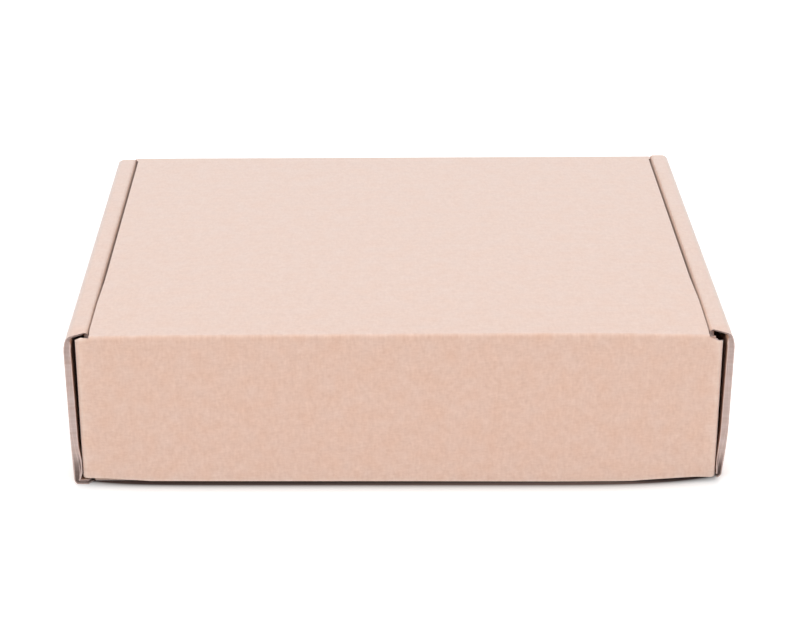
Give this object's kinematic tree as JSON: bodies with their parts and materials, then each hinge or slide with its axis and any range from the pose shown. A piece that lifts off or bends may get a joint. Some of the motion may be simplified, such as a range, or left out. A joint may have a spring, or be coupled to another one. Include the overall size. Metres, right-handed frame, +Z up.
{
  "type": "die-cut box",
  "caption": "Closed low die-cut mailing box of kraft fluted board with double side walls, a hinged lid and an outside front flap whose tuck ears enter the side walls.",
  "frame": {"origin": "on the floor, under the middle of the closed box", "axes": "+Z up, the front flap faces -Y, X runs along the width"},
  "size_m": [0.2504, 0.2, 0.062],
  "materials": {
    "kraft_board": "matte"
  },
  "bodies": {
    "tray": {"tray": "kraft_board"},
    "lid": {"lid": "kraft_board"},
    "front_flap": {"front_flap": "kraft_board"}
  },
  "joints": [
    {"name": "lid_hinge", "type": "hinge", "parent": "tray", "child": "lid", "pos_m": [0, 0.1, 0.062], "axis": [-1, 0, 0], "range_deg": [0, 110]},
    {"name": "flap_hinge", "type": "hinge", "parent": "lid", "child": "front_flap", "pos_m": [0, -0.1, 0.062], "axis": [-1, 0, 0], "range_deg": [0, 110]}
  ],
  "couplings": [
    {"joint": "flap_hinge", "follows": "lid_hinge", "ratio": 1}
  ]
}
